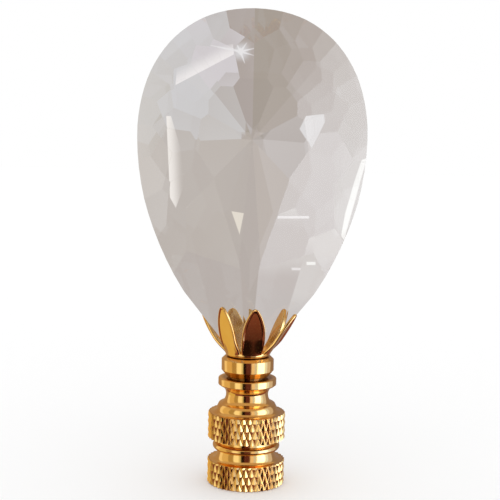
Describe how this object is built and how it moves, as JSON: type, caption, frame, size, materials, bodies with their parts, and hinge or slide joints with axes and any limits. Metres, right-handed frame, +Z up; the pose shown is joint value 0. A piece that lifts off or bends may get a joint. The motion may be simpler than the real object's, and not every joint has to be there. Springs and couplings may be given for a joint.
{
  "type": "lamp shade finial",
  "caption": "Lamp shade finial: a flattened pear-shaped faceted crystal drop held by a petal cup on a turned brass base with knurled bands, tapped from below.",
  "frame": {"origin": "middle of the base's flat underside, on the thread's axis", "axes": "+Z up along the thread's axis to the top of the crystal, +X across the crystal's wide face, -Y towards the front"},
  "size_m": [0.0368, 0.0184, 0.0769],
  "materials": {
    "crystal": "clear cut crystal, polished flat facets",
    "polished_brass": "polished and lacquered yellow brass"
  },
  "bodies": {
    "root": {"crystal_drop": "crystal", "petal_cup": "polished_brass", "seat_collar": "polished_brass", "finial_base": "polished_brass"}
  },
  "joints": []
}
